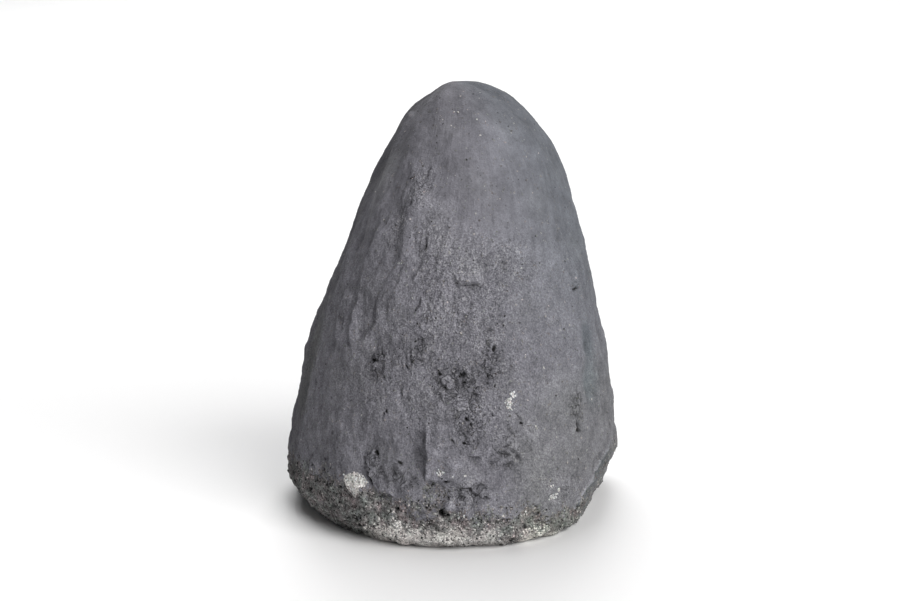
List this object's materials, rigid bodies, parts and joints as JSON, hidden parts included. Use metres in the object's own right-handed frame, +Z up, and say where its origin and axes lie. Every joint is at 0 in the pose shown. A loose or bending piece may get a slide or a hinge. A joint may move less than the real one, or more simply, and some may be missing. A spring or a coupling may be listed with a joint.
{
  "type": "amethyst geode",
  "caption": "Free-standing half geode with a rounded, cement-coated back, a sawn face and a hollow lined with amethyst crystals, resting on a flat sawn foot",
  "frame": {"origin": "middle of the bounding box, on the plane of the sawn foot", "axes": "+Z up the stone from its foot to its apex, +Y out of the open crystal face, -Y out of the rounded back, +X to the right seen from the back"},
  "size_m": [0.1274, 0.0902, 0.1558],
  "materials": {
    "coated_stone": "matt dark grey cement coat over basalt, with a sawn and polished face in front",
    "amethyst": "glossy, clear to deep violet quartz"
  },
  "bodies": {
    "root": {"geode_stone": "coated_stone", "amethyst_crystals": "amethyst"}
  },
  "joints": []
}
